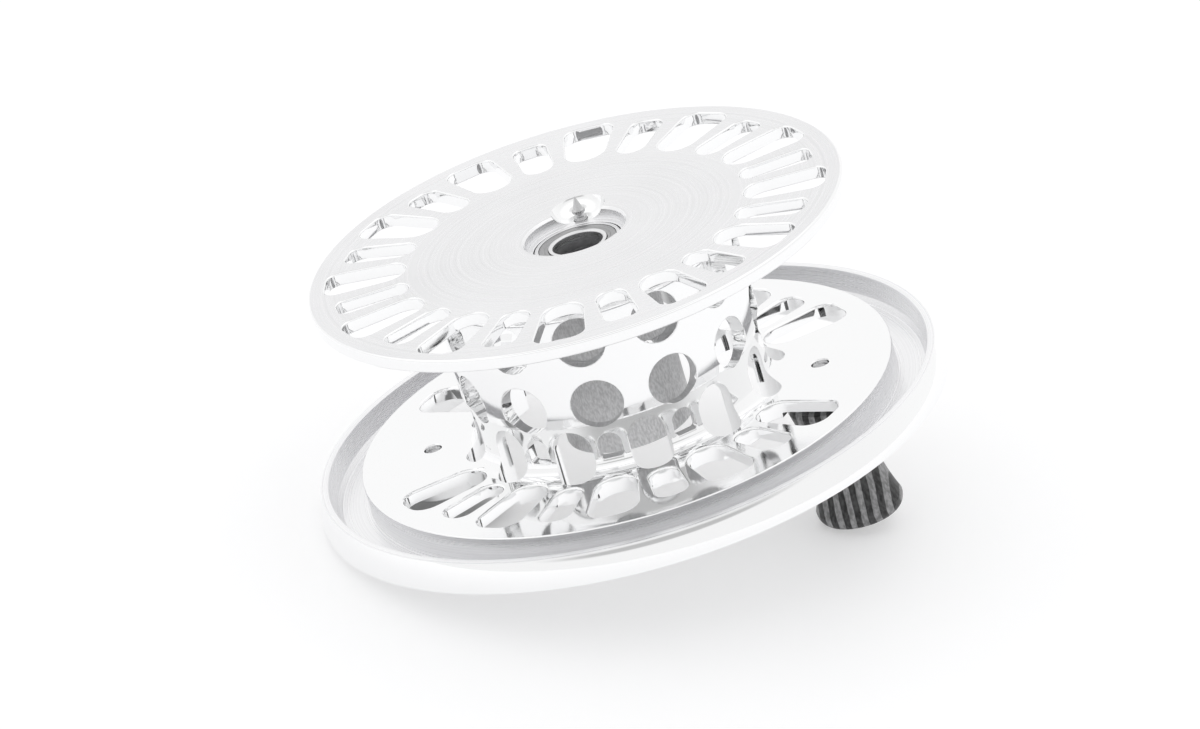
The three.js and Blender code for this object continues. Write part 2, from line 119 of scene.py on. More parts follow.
HANDLE_X = (knob_low[0] + knob_high[0]) / 2
WEIGHT_X = (weight_low[0] + weight_high[0]) / 2
STUD, STUD_HOLE, STUD_TIP = 1.3, 1.4, -0.2
KNOB = dict(top=-5.5, top_radius=6.6, foot=-26.0, foot_radius=5.5, bore=3.22, counterbore=4.4, step=-23.3)
STRIPE = dict(pitch=2.0, shift=-0.7)
WAIST = dict(radius=5.1, at=-16.9, power=1.5)
SHOULDER = dict(radius=6.9, at=-6.2)
BELLY = dict(radius=7.0, at=-23.9)
POST = dict(shoulder=4.2, shoulder_at=-4.6, shaft=2.0, end=-23.4)
BUSH = dict(inner=2.06, outer=3.2, length=5.0)
END_SCREW = dict(radius=3.8, head=-25.3, socket=1.7, depth=0.9)
WEIGHT = dict(radius=5.6, front=-6.4, bore=1.45, counterbore=2.75, step=1.6)
WEIGHT_SCREW = dict(radius=2.6, length=1.4, socket=1.15, depth=0.9)

CAMERA = dict(azimuth=math.radians(10.05), elevation=math.radians(23.15), roll=math.radians(16.5),
              distance=1.585, lens=303.9, sensor=36.0)
AIM = Vector((-0.00256, 0.00285, 0.0071 + DECK * MM))
TENT = dict(top=1.22, zenith=0.82, front=0.97, back=1.02)
OPENING = dict(strength=0.56, width=0.6, height=0.06)

FLOOR = dict(size=8.0, grey=0.6, glow=0.4, roughness=0.6, knob_touch=5.6)
# A painted contact shadow on the floor: darker grey and less glow round x, full within core, gone by edge.
PAINTED_SHADOW = dict(x=-34.0, core=5.0, edge=16.5, grey=0.34, glow=0.07)

AROUND = 288     # facets round the spool
SOFT_TURN = math.radians(15)            # outline corners below this are part of a curve
POLISHED, MILLED, TURNED, SATIN_PAINTED_SHADE = range(4)    # the spool's material slots
FILLET_STEP = 0.08                      # radius of a fillet for each of its steps, from 2 steps to 12


# ---- Outlines ----

def rounded(corners):
    """Turns (r, z, fillet) corners, anticlockwise, into segments of (start, end, start and end normal)."""
    points = [np.array(c[:2], float) for c in corners]
    fillets = [c[2] if len(c) > 2 else 0.0 for c in corners]
    arcs = []
    for i, here in enumerate(points):
        before, after = points[i - 1], points[(i + 1) % len(points)]
        steps = int(min(max(math.ceil(fillets[i] / FILLET_STEP), 2), 12))
        arcs.append(corner_arc(unit(here - before), here, unit(after - here), fillets[i], steps))
    segments = []
    for i, arc in enumerate(arcs):
        for (p0, _, n0), (p1, n1, _) in zip(arc, arc[1:]):
            segments.append((p0, p1, n0, n1))
        start, end = arc[-1], arcs[(i + 1) % len(arcs)][0]
        segments.append((start[0], end[0], start[2], end[1]))
    return segments


def unit(vector):
    return vector / np.linalg.norm(vector)


def outward(direction):
    return np.array([direction[1], -direction[0]])


def corner_arc(d_in, here, d_out, radius, steps):
    """(point, normal before, normal after) round one corner."""
    turn_by = math.atan2(d_in[0] * d_out[1] - d_in[1] * d_out[0], float(np.dot(d_in, d_out)))
    if radius <= 0:
        if abs(turn_by) < SOFT_TURN:
            between = unit(outward(d_in) + outward(d_out))
            return [(here, between, between)]
        return [(here, outward(d_in), outward(d_out))]
    side = 1.0 if turn_by > 0 else -1.0
    start = here - d_in * radius * math.tan(abs(turn_by) / 2)
    centre = start - outward(d_in) * radius * side
    x, y = outward(d_in) * side
    first = math.atan2(y, x)
    arc = []
    for k in range(steps + 1):
        angle = first + turn_by * k / steps
        direction = np.array([math.cos(angle), math.sin(angle)])
        arc.append((centre + direction * radius, direction * side, direction * side))
    return arc


def arc_points(centre_r, centre_z, radius, start, end, steps):
    angles = np.radians(np.linspace(start, end, steps + 1))
    return [(centre_r + radius * math.cos(a), centre_z + radius * math.sin(a)) for a in angles]


def rim_side(steps=24):
    """The rim's crowned outside, from its lower edge up to its lip."""
    lip = -RIM["lip_drop"]
    points = []
    for z in np.linspace(RIM["side_low"], lip, steps + 1):
        t = (z - RIM["bulge_at"]) / (lip - RIM["bulge_at"])
        points.append((RIM["bulge"] - (RIM["bulge"] - RIM["lip_outer"]) * t * t, z))
    return points


def knob_flank(end, steps=20):
    """The knob's side between its waist and a wider place."""
    points = []
    for t in np.linspace(0, 1, steps + 1):
        radius = WAIST["radius"] + (end["radius"] - WAIST["radius"]) * t ** WAIST["power"]
        points.append((radius, WAIST["at"] + (end["at"] - WAIST["at"]) * t))
    return points


def knob_foot(steps=12):
    """The knob's round foot, from its bottom face up to its belly."""
    points = []
    for angle in np.linspace(0, math.pi / 2, steps + 1):
        radius = KNOB["foot_radius"] + (BELLY["radius"] - KNOB["foot_radius"]) * math.sin(angle)
        points.append((radius, BELLY["at"] - (BELLY["at"] - KNOB["foot"]) * math.cos(angle)))
    return points


# ---- Meshes ----

def new_object(name, verts, faces):
    mesh = bpy.data.meshes.new(name)
    mesh.from_pydata([tuple(v) for v in verts], [], faces)
    obj = bpy.data.objects.new(name, mesh)
    bpy.context.scene.collection.objects.link(obj)
    return obj


def to_frame(points):
    """Millimetres over DECK to metres in the row frame."""
    return (np.asarray(points, float) + np.array([0, 0, DECK])) * MM


def lathe(name, segments, around=96, x=0.0, y=0.0):
    """Turns closed outline segments round its own axis, which stands at (x, y)."""
    verts, faces, rings = [], [], []
    for start, _, _, _ in segments:
        if start[0] < 1e-6:
            rings.append([len(verts)] * around)
            verts.append((0.0, 0.0, start[1]))
            continue
        rings.append(list(range(len(verts), len(verts) + around)))
        for k in range(around):
            angle = 2 * math.pi * k / around
            verts.append((start[0] * math.cos(angle), start[0] * math.sin(angle), start[1]))
    for i, ring in enumerate(rings):
        after = rings[(i + 1) % len(rings)]
        if ring[0] == ring[1] and after[0] == after[1]:
            continue
        for k in range(around):
            n = (k + 1) % around
            corners = [ring[k], ring[n], after[n], after[k]]
            faces.append(tuple(dict.fromkeys(corners)))
    obj = new_object(name, to_frame(verts), faces)
    obj.location = (x * MM, y * MM, 0)
    obj.data.materials.append(None)
    return obj


def loft(name, rings):
    """A closed solid through rings of equal length, each anticlockwise from above, in order upwards."""
    count = len(rings[0])
    verts = [p for ring in rings for p in ring]
    faces = [tuple(reversed(range(count)))]
    for i in range(len(rings) - 1):
        for k in range(count):
            n = (k + 1) % count
            low, high = i * count, (i + 1) * count
            faces.append((low + k, low + n, high + n, high + k))
    faces.append(tuple(range(len(verts) - count, len(verts))))
    return new_object(name, to_frame(verts), faces)


def join(objects):
    if len(objects) == 1:
        return objects[0]
    bpy.ops.object.select_all(action="DESELECT")
    for obj in objects:
        obj.select_set(True)
    bpy.context.view_layer.objects.active = objects[0]
    bpy.ops.object.join()
    return objects[0]


def cut(obj, cutters):
    """Takes the cutters, which don't overlap each other, out of obj. Cut faces get material slot 1."""
    tool = join(cutters)
    for target in (obj, tool):
        while len(target.data.materials) < 2:
            target.data.materials.append(None)
    tool.data.polygons.foreach_set("material_index", [1] * len(tool.data.polygons))
    modifier = obj.modifiers.new("cut", "BOOLEAN")
    modifier.operation = "DIFFERENCE"
    modifier.solver = "MANIFOLD"
    modifier.object = tool
    evaluated = obj.evaluated_get(bpy.context.evaluated_depsgraph_get())
    mesh = bpy.data.meshes.new_from_object(evaluated)
    obj.modifiers.clear()
    obj.data = mesh
    bpy.data.objects.remove(tool)


def crease(mesh, degrees=32):
    """Smooth shading that breaks at sharp edges and where a cut face meets an uncut one."""
    work = bmesh.new()
    work.from_mesh(mesh)
    limit = math.radians(degrees)
    for face in work.faces:
        face.smooth = True
    for edge in work.edges:
        if len(edge.link_faces) == 2:
            a, b = edge.link_faces
            edge.smooth = a.material_index == b.material_index and edge.calc_face_angle(0) < limit
    work.to_mesh(mesh)
    work.free()


def read_vectors(items, attribute):
    flat = np.empty(len(items) * 3)
    items.foreach_get(attribute, flat)
    return flat.reshape(-1, 3)


def exact_normals(obj, segments):
    """Gives faces of material slot 0 the true normals of the turned outline they lie on."""
    mesh = obj.data
    crease(mesh)
    normals = read_vectors(mesh.corner_normals, "vector")
    places = read_vectors(mesh.vertices, "co") / MM - np.array([0, 0, DECK])
    starts = np.array([s[0] for s in segments])
    ends = np.array([s[1] for s in segments])
    n0 = np.array([s[2] for s in segments])
    n1 = np.array([s[3] for s in segments])
    for polygon in mesh.polygons:
        if polygon.material_index != 0:
            continue
        centre = np.array(polygon.center) / MM
        ids = [mesh.loops[i].vertex_index for i in polygon.loop_indices]
        corners = places[ids]
        radii = np.hypot(corners[:, 0], corners[:, 1])
        middle = np.array([radii.mean(), corners[:, 2].mean()])
        face_normal = np.array(polygon.normal)
        radial = (face_normal[0] * centre[0] + face_normal[1] * centre[1]) / max(np.hypot(*centre[:2]), 1e-9)
        best = nearest_segment(middle, (radial, face_normal[2]), starts, ends, n0 + n1)
        a, b = starts[best], ends[best]
        span = b - a
        share = np.clip(((np.c_[radii, corners[:, 2]] - a) @ span) / (span @ span), 0, 1)
        flat = n0[best] * (1 - share[:, None]) + n1[best] * share[:, None]
        flat /= np.linalg.norm(flat, axis=1)[:, None]
        around = corners[:, :2] / np.maximum(radii, 1e-9)[:, None]
        exact = np.c_[around * flat[:, :1], flat[:, 1]]
        normals[polygon.loop_start:polygon.loop_start + polygon.loop_total] = exact
    mesh.normals_split_custom_set(normals.tolist())


def nearest_segment(point, normal, starts, ends, directions):
    span = ends - starts
    share = np.clip(((point - starts) * span).sum(1) / (span * span).sum(1), 0, 1)
    gap = np.linalg.norm(starts + span * share[:, None] - point, axis=1)
    facing = directions @ np.array(normal)
    gap[facing < 0] += 5.0
    return int(np.argmin(gap))


# ---- Cutters ----

def edge_break(level, radius, side):
    """(level, offset) pairs for a cutter that rounds an edge at level; side +1 is the upper edge."""
    last = math.radians(65)
    pairs = []
    for t in np.linspace(0, last, 5):
        pairs.append((level - side * radius * (1 - math.sin(t)), radius * (1 - math.cos(t))))
    beyond = 0.1
    run = (radius * (1 - math.sin(last)) + beyond) * math.tan(last)
    widest = pairs[-1][1] + run
    pairs.append((level + side * beyond, widest))
    pairs.append((level + side, widest))
    return pairs if side > 0 else pairs[::-1]


def turn(points, angle):
    c, s = math.cos(angle), math.sin(angle)
    points = np.asarray(points, float)
    x = points[:, 0] * c - points[:, 1] * s
    y = points[:, 0] * s + points[:, 1] * c
    return np.c_[x, y, points[:, 2]]


def circle(radius, steps=48):
    angles = 2 * math.pi * np.arange(steps) / steps
    return np.c_[radius * np.cos(angles), radius * np.sin(angles)]


def drill(x, y, levels, steps=48):
    """A cutter along +Z through (height, radius) levels, in rising order."""
    rings = []
    for level, radius in levels:
        flat = circle(radius, steps)
        rings.append(np.c_[flat[:, 0] + x, flat[:, 1] + y, np.full(steps, level)])
    return loft("drill", rings)


def through_hole(x, y, radius, low, high, high_break=EDGE["bore"]):
    edges = edge_break(low, EDGE["bore"], -1) + edge_break(high, high_break, 1)
    return drill(x, y, [(level, radius + offset) for level, offset in edges])


def hex_socket(x, face, radius, depth):
    """A hexagonal socket that opens downwards."""
    edges = [(level, radius + offset) for level, offset in edge_break(face, EDGE["socket"], -1)]
    return drill(x, 0.0, edges + [(face + depth, radius)], 6)


def port_outline(inner, outer, inner_width, outer_width, corner, offset):
    """A port along +X: round inner end, straight sides that widen, round corners at the outer end."""
    nose = inner_width / 2
    centre_a = np.array([inner + nose, 0.0])
    centre_b = np.array([outer - corner, outer_width / 2 - corner])
    mirror = centre_b * np.array([1, -1])
    reach = centre_b - centre_a
    lean = math.atan2(reach[1], reach[0]) + math.acos((nose - corner) / np.linalg.norm(reach))
    points = []
    for angle in np.linspace(0, lean, 9):
        points.append(centre_b + (corner + offset) * np.array([math.cos(angle), math.sin(angle)]))
    for angle in np.linspace(lean, 2 * math.pi - lean, 25):
        points.append(centre_a + (nose + offset) * np.array([math.cos(angle), math.sin(angle)]))
    for angle in np.linspace(-lean, 0, 9):
        points.append(mirror + (corner + offset) * np.array([math.cos(angle), math.sin(angle)]))
    return np.array(points)


def port_cutter(size, low, high, high_break, angle):
    rings = []
    for level, offset in edge_break(low, EDGE["port_low"], -1) + edge_break(high, high_break, 1):
        flat = port_outline(offset=offset, **size)
        rings.append(turn(np.c_[flat, np.full(len(flat), level)], angle))
    return loft("port_tool", rings)


def round_window(radius, height):
    return lambda offset: circle(radius + offset) + np.array([0, height])


def arched_window(offset):
    half, foot = SLIT["half"] + offset, SLIT["foot"]
    low = SLIT["low"] - offset + foot
    points = []
    for angle in np.linspace(-math.pi / 2, 0, 7):
        points.append((half - foot + foot * math.cos(angle), low + foot * math.sin(angle)))
    for angle in np.linspace(0, math.pi, 25):
        points.append((half * math.cos(angle), SLIT["top"] - SLIT["half"] + half * math.sin(angle)))
    for angle in np.linspace(math.pi, 1.5 * math.pi, 7):
        points.append((-half + foot + foot * math.cos(angle), low + foot * math.sin(angle)))
    return np.array(points)


def wall_cutter(window, inside, surface, edge, angle):
    """A cutter with parallel sides through a round wall; window(offset) is its outline in (x, z)."""
    rings = []
    for radius, offset in [(inside, 0.0)] + edge_break(surface, edge, 1):
        flat = window(offset)
        out = np.sqrt(radius ** 2 - flat[:, 0] ** 2)
        rings.append(turn(np.c_[out, flat[:, 0], flat[:, 1]], angle))
    return loft("wall_tool", rings)


def plunge_cutter(angle):
    """The ball-ended cutter that opens the arbor's foot from the front."""
    radius, top = PLUNGE["radius"], PLUNGE["top"]
    levels = [(PLATE["ring_under"] - 2, radius), (PLATE["ring_under"], radius)]
    for t in np.radians(np.linspace(0, 89, 13)):
        levels.append((top - radius + radius * math.sin(t), radius * math.cos(t)))
    rings = []
    for level, size in levels:
        flat = circle(size)
        ring = np.c_[flat[:, 0] + PLUNGE["place"], flat[:, 1], np.full(len(flat), level)]
        rings.append(turn(ring, angle))
    return loft("plunge_tool", rings)


# ---- Spool body ----

def spool_corners():
    foot = RIM_FOOT
    return [
        (WEB["bore"], WEB["under"], 0.05),
        (ARBOR["bore"], WEB["under"], 1.2),
        (ARBOR["bore"], PLATE["ring_under"], 0.25),
        (PLATE["ring"], PLATE["ring_under"], 0.2),
        (PLATE["ring"], PLATE["under"], 0.2),
        (foot["inner"], PLATE["under"], 0.5),
        (foot["inner"], foot["at"], 0.5),
        (foot["outer"], foot["at"], 0.4),
        *rim_side(),
        (RIM["lip_inner"], 0.0, 0.2),
        (CHANNEL["corner_radius"], CHANNEL["corner"], 0.15),
        (CHANNEL["floor_radius"], CHANNEL["floor"], 0.2),
        (PLATE["radius"], CHANNEL["floor"], 0.1),
        (PLATE["radius"], PLATE["top"], 0.25),
        (ARBOR["waist"], PLATE["top"], FRONT_FLARE),
        (ARBOR["waist"], ARBOR["step_low"], 0.8),
        (ARBOR["radius"], ARBOR["step_top"], 0.15),
        (ARBOR["radius"], REAR["under"], REAR_FLARE),
        (REAR["radius"], REAR["under"], 0.4),
        (REAR["radius"], REAR["top"], 0.4),
        (WEB["recess"] + 0.35, REAR["top"], 0.06),
        (WEB["recess"], REAR["top"] - 0.35, 0.06),
        (WEB["recess"], WEB["ledge"], 0.1),
        (WEB["bore"], WEB["ledge"], 0.15),
    ]


def rear_ports():
    tools = []
    for i in range(PITCHES):
        size = REAR_WIDE if i % 2 == 0 else REAR_NARROW
        tools.append(port_cutter(size, REAR["under"], REAR["top"], EDGE["rear_port"], i * PITCH))
    return tools


def front_ports():
    """The pads for the handle and the counterweight, one pitch to each side, stay solid."""
    tools = []
    half_turn = PITCHES // 2
    for i in range(PITCHES):
        if min(i % half_turn, half_turn - i % half_turn) > 1:
            size = FRONT_WIDE if i % 2 == 0 else FRONT_NARROW
            tools.append(port_cutter(size, PLATE["ring_under"], PLATE["top"], EDGE["front_port"], i * PITCH))
    return tools


def arbor_holes():
    tools = []
    for i in range(0, PITCHES, 2):
        for height in HOLE_ROWS:
            window = round_window(HOLE_R, height)
            tools.append(wall_cutter(window, WALL_INSIDE, ARBOR["radius"], EDGE["hole"], i * PITCH))
    return tools


def slits():
    tools = []
    for degrees in SLIT_PLACES:
        angle = math.radians(degrees)
        tools.append(wall_cutter(arched_window, WALL_INSIDE, ARBOR["waist"], EDGE["slit"], angle))
    return tools


def scoop_cutter():
    """The dished pocket beside the bearing that the drive pin stands in."""
    fillet = SCOOP["fillet"]
    depth = REAR["top"] - WEB["ledge"]
    last = math.acos((fillet - depth) / fillet)
    flat_r = SCOOP["radius"] - fillet * math.sin(last)
    levels = []
    for t in np.linspace(0, last, 12):
        levels.append((WEB["ledge"] + fillet * (1 - math.cos(t)), flat_r + fillet * math.sin(t)))
    levels.append((REAR["top"] + 0.05, SCOOP["radius"] + 0.15))
    levels.append((REAR["top"] + 1.0, SCOOP["radius"] + 0.15))
    return drill(0.0, PIN_Y, levels, 72)


def seat_cutter(x, radius):
    """A seat in the underside's thick ring, for the handle's post or the counterweight."""
    levels = [(level, radius + SEAT_CLEARANCE) for level in (PLATE["ring_under"] - 1, PLATE["under"])]
    return drill(x, 0.0, levels, 64)


def spool_body():
    segments = rounded(spool_corners())
    obj = lathe("spool_body_fine", segments, AROUND)
    cut(obj, rear_ports() + front_ports() + arbor_holes())
    cut(obj, [plunge_cutter(i * PITCH) for i in range(1, PITCHES, 2)])
    cut(obj, slits())
    cut(obj, [scoop_cutter()])
    cut(obj, [seat_cutter(HANDLE_X, POST["shoulder"]), seat_cutter(WEIGHT_X, WEIGHT["radius"])])
    cut(obj, [
        through_hole(0.0, PIN_Y, PIN["head"] + 0.07, WEB["under"], WEB["ledge"]),
        through_hole(HANDLE_X, 0.0, STUD_HOLE, PLATE["under"], PLATE["top"], high_break=EDGE["stud"]),
        through_hole(WEIGHT_X, 0.0, STUD_HOLE, PLATE["under"], PLATE["top"], high_break=EDGE["stud"]),
    ])
    exact_normals(obj, segments)
    finish_faces(obj)
    return obj


def in_channel(radius, height):
    """The channel between the front plate and the rim, with the rim's lip."""
    across = PLATE["radius"] - 0.1 < radius < RIM["lip_outer"] - 0.02
    return across and CHANNEL["floor"] - 0.1 < height < PLATE["top"] - 0.2


def in_recess(radius, height):
    """The seat in the web that shows round the rear bearing."""
    return radius < WEB["recess"] + 0.3 and height > WEB["ledge"] - 0.2


def in_scoop(x, y, height):
    return math.hypot(x, y - PIN_Y) < SCOOP["radius"] + 0.1 and height > WEB["ledge"] - 0.1


def finish_faces(obj):
    """Polished outline and scoop, milled windows, turned rear disc, satin channel and bearing recess, whose
    greyer tone is partly painted shade.
    """
    obj.data.materials.clear()
    for name in ("spool_aluminium", "milled", "turned", "satin"):
        obj.data.materials.append(FINISH[name])
    for polygon in obj.data.polygons:
        x, y, z = np.array(polygon.center) / MM
        radius, height = math.hypot(x, y), z - DECK
        if polygon.material_index == MILLED:
            if in_scoop(x, y, height):
                polygon.material_index = POLISHED
        elif polygon.normal.z > 0.999 and abs(height - REAR["top"]) < 0.01:
            polygon.material_index = TURNED
        elif in_channel(radius, height) or in_recess(radius, height):
            polygon.material_index = SATIN_PAINTED_SHADE


# ---- Finishes ----

class Graph:
    """Short names for building the nodes of a material, or of the world."""

    def __init__(self, name, world=False):
        self.owner = (bpy.data.worlds if world else bpy.data.materials).new(name)
        self.owner.use_nodes = True
        self.tree = self.owner.node_tree
        self.shader = self.tree.nodes["Background" if world else "Principled BSDF"]

    def node(self, kind, _props=None, **inputs):
        made = self.tree.nodes.new(kind)
        for key, value in (_props or {}).items():
            setattr(made, key, value)
        for key, value in inputs.items():
            self.set(made.inputs[key.replace("_", " ")], value)
        return made

    def set(self, socket, value):
        if isinstance(value, bpy.types.NodeSocket):
            self.tree.links.new(value, socket)
        else:
            socket.default_value = value

    def math(self, operation, a, b=0.0):
        made = self.node("ShaderNodeMath", {"operation": operation})
        self.set(made.inputs[0], a)
        self.set(made.inputs[1], b)
        return made.outputs[0]

    def finish(self, **inputs):
        for key, value in inputs.items():
            self.set(self.shader.inputs[key.replace("_", " ")], value)
        return self.owner

    def place(self):
        return self.node("ShaderNodeTexCoord").outputs["Object"]

    def reach(self, across, along):
        """The length of (across, along)."""
        squared = self.math("ADD", self.math("POWER", across, 2.0), self.math("POWER", along, 2.0))
        return self.math("SQRT", squared)

    def radius(self):
        """Distance from the piece's own Z axis, and height, in metres."""
        split = self.node("ShaderNodeSeparateXYZ", Vector=self.place())
        return self.reach(split.outputs[0], split.outputs[1]), split.outputs[2]

    def noise(self, scale, detail=3.0, vector=None):
        """Noise over the piece, or over another vector."""
        vector = self.place() if vector is None else vector
        return self.node("ShaderNodeTexNoise", Vector=vector, Scale=scale, Detail=detail).outputs["Fac"]

    def noise_along(self, value, scale, detail):
        """Noise that changes along one value only."""
        made = self.node("ShaderNodeTexNoise", {"noise_dimensions": "1D"}, Scale=scale, Detail=detail)
        self.set(made.inputs["W"], value)
        return made.outputs["Fac"]

    def stretched_noise(self, scale, detail):
        """Noise with its own scale along each axis."""
        stretch = self.node("ShaderNodeMapping", Vector=self.place(), Scale=scale)
        return self.noise(1.0, detail, stretch.outputs[0])

    def spread(self, value, low, high, first=0.0, last=1.0):
        """Takes the range first..last to low..high, smoothly."""
        made = self.node("ShaderNodeMapRange", {"interpolation_type": "SMOOTHSTEP"}, Value=value,
                         From_Min=first, From_Max=last, To_Min=low, To_Max=high)
        return made.outputs[0]

    def mix(self, factor, first, last):
        """A neutral colour between two greys."""
        made = self.node("ShaderNodeMix", {"data_type": "RGBA"}, Factor=factor)
        self.set(made.inputs[6], (first, first, first * 1.01, 1))
        self.set(made.inputs[7], (last, last, last * 1.01, 1))
        return made.outputs[2]

    def bump(self, height, distance, strength):
        return self.node("ShaderNodeBump", Height=height, Distance=distance, Strength=strength).outputs[0]


def polished_aluminium():
    g = Graph("polished_aluminium")
    haze = g.spread(g.noise(180.0), 0.04, 0.09)
    marks = g.bump(g.noise(9000.0, 2.0), 0.000002, 0.3)
    return g.finish(Base_Color=(0.93, 0.932, 0.935, 1), Metallic=1.0, Roughness=haze, Normal=marks)


def milled_aluminium():
    """The walls of the ports and windows, with the cutter's marks down them."""
    g = Graph("milled_aluminium")
    marks = g.stretched_noise((1500.0, 1500.0, 25.0), 2.0)
    return g.finish(Base_Color=(0.66, 0.662, 0.665, 1), Metallic=1.0, Roughness=g.spread(marks, 0.2, 0.36),
                    Normal=g.bump(marks, 0.00003, 0.5))


def satin_aluminium_painted_shade():
    """The rim's channel and lip, and the bearing's recess: turned and left unpolished, and greyer than the
    polished faces, partly as painted shade in these hollows.
    """
    g = Graph("satin_aluminium_painted_shade")
    radius, height = g.radius()
    marks = g.noise_along(g.math("ADD", radius, height), 5000.0, 4.0)
    # Greyer tone: turning marks, and partly painted shade in the channel and recess.
    tone = g.mix(g.spread(marks, 0.0, 1.0, 0.3, 0.7), 0.84, 0.92)
    return g.finish(Base_Color=tone, Metallic=1.0, Roughness=g.spread(marks, 0.24, 0.34),
                    Normal=g.bump(marks, 0.000003, 0.3))


def turned_aluminium():
    """The rear disc: fine concentric turning marks under a faint cloudy swirl."""
    g = Graph("turned_aluminium")
    radius, _ = g.radius()
    fine = g.noise_along(radius, 9000.0, 2.0)
    coarse = g.noise_along(radius, 1800.0, 3.0)
    height = g.math("ADD", g.math("MULTIPLY", fine, 0.8), g.math("MULTIPLY", coarse, 0.2))
    tangent = g.node("ShaderNodeTangent", {"direction_type": "RADIAL", "axis": "Z"}).outputs[0]
    tone = g.mix(g.math("MULTIPLY", coarse, g.noise(60.0, 4.0)), 0.87, 0.66)
    return g.finish(Base_Color=tone, Metallic=1.0, Roughness=g.spread(coarse, 0.24, 0.32),
                    Anisotropic=0.5, Tangent=tangent, Normal=g.bump(height, 0.0000015, 0.13))


def grey_anodised():
    """The hub column: matte, with a fine speckle, slightly drawn out along its length."""
    g = Graph("grey_anodised")
    speckle = g.stretched_noise((3600.0, 3600.0, 1500.0), 5.0)
    tone = g.mix(g.spread(speckle, 0.0, 1.0, 0.25, 0.75), 0.52, 0.76)
    return g.finish(Base_Color=tone, Metallic=0.5, Roughness=0.5, Normal=g.bump(speckle, 0.00002, 0.4))


def steel(name, shade, low, high):
    """Turned steel: a grey, and a roughness between low and high."""
    g = Graph(name)
    radius, height = g.radius()
    lines = g.noise_along(g.math("ADD", radius, height), 2500.0, 2.0)
    return g.finish(Base_Color=(shade, shade, shade * 1.01, 1), Metallic=1.0,
                    Roughness=g.spread(lines, low, high), Normal=g.bump(lines, 0.000004, 0.4))


def bronze():
    g = Graph("sintered_bronze")
    grain = g.noise(2500.0, 4.0)
    return g.finish(Base_Color=(0.55, 0.40, 0.22, 1), Metallic=1.0, Roughness=g.spread(grain, 0.35, 0.55),
                    Normal=g.bump(grain, 0.00001, 0.5))


def black_nylon():
    g = Graph("black_nylon")
    grain = g.noise(1800.0, 3.0)
    return g.finish(Base_Color=(0.02, 0.02, 0.021, 1), Roughness=g.spread(grain, 0.45, 0.6),
                    Normal=g.bump(grain, 0.00001, 0.3))


def striped_laminate():
    """Dark and grey layers, stacked along X and pressed together, with a satin lacquer."""
    g = Graph("striped_laminate")
    split = g.node("ShaderNodeSeparateXYZ", Vector=g.place())
    waver = g.math("MULTIPLY", g.math("SUBTRACT", g.noise(140.0, 3.0), 0.5), 0.0009)
    along = g.math("ADD", g.math("ADD", split.outputs[0], waver), STRIPE["shift"] * MM)
    wave = g.math("SINE", g.math("MULTIPLY", along, 2 * math.pi / (STRIPE["pitch"] * MM)))
    mask = g.spread(wave, 0.0, 1.0, -0.15, 0.25)
    fibre = g.stretched_noise((1900.0, 1900.0, 900.0), 5.0)
    fleck = g.spread(fibre, 0.0, 1.0, 0.3, 0.7)
    stripe = g.node("ShaderNodeMix", {"data_type": "RGBA"}, Factor=mask)
    g.set(stripe.inputs[6], g.mix(fleck, 0.008, 0.06))
    g.set(stripe.inputs[7], g.mix(fleck, 0.15, 0.33))
    height = g.math("ADD", g.math("MULTIPLY", mask, 0.4), g.math("MULTIPLY", fibre, 0.6))
    return g.finish(Base_Color=stripe.outputs[2], Roughness=g.spread(fibre, 0.38, 0.55),
                    Specular_IOR_Level=0.3, Coat_Weight=0.08, Coat_Roughness=0.2,
                    Normal=g.bump(height, 0.00002, 0.35))


FINISH = {
    "spool_aluminium": polished_aluminium(),
    "milled": milled_aluminium(),
    "turned": turned_aluminium(),
    "satin": satin_aluminium_painted_shade(),
    "hub_coat": grey_anodised(),
    "bearing_steel": steel("bearing_steel", 0.78, 0.24, 0.36),
    "shield_steel": steel("shield_steel", 0.38, 0.3, 0.42),
    "pin_steel": steel("pin_steel", 0.55, 0.12, 0.22),
    "bush_bronze": bronze(),
    "knob_laminate": striped_laminate(),
    "washer_nylon": black_nylon(),
}


# ---- Pieces ----

def dress(obj, name, slot, body, *nodes):
    """Gives a piece its name, its finish from the slot and its body, and hides the CAD nodes it stands for.
    """
    obj.name = name
    for i in range(len(obj.data.materials)):
        if obj.data.materials[i] is None:
            obj.data.materials[i] = FINISH[slot]
    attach(obj, body)
    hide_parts(*nodes)


def turned_piece(node, corners, slot, body, around=72, x=0.0, y=0.0, cutters=()):
    """A lathed piece that stands for one CAD node."""
    segments = rounded(corners)
    obj = lathe(node, segments, around, x, y)
    if cutters:
        cut(obj, list(cutters))
    exact_normals(obj, segments)
    dress(obj, node + "_fine", slot, body, node)
    return obj


def tube_corners(inner, outer, low, high, edge):
    return [(inner, low, edge), (outer, low, edge), (outer, high, edge), (inner, high, edge)]


def hub_insert():
    top = WEB["under"] - GAP
    rear_seat = REAR_BEARING - BEARING["half"] - GAP
    front_seat = FRONT_BEARING + BEARING["half"] + GAP
    corners = [
        (HUB["seat"], HUB["front"], 0.2),
        (HUB["radius"], HUB["front"], 0.5),
        (HUB["radius"], HUB["flange_at"], 0.4),
        (HUB["flange"], HUB["flange_at"], 0.4),
        (HUB["flange"], top, 0.3),
        (HUB["seat"], top, 0.15),
        (HUB["seat"], rear_seat),
        (HUB["bore"], rear_seat, 0.1),
        (HUB["bore"], front_seat, 0.1),
        (HUB["seat"], front_seat),
    ]
    narrow, wide = POCKET["narrow"], POCKET["wide"]
    levels = [(POCKET["bottom"], narrow), (POCKET["step"], narrow), (POCKET["step"], wide), (top + 1, wide)]
    turned_piece("hub_insert", corners, "hub_coat", "spool", 120, cutters=[drill(0.0, PIN_Y, levels)])


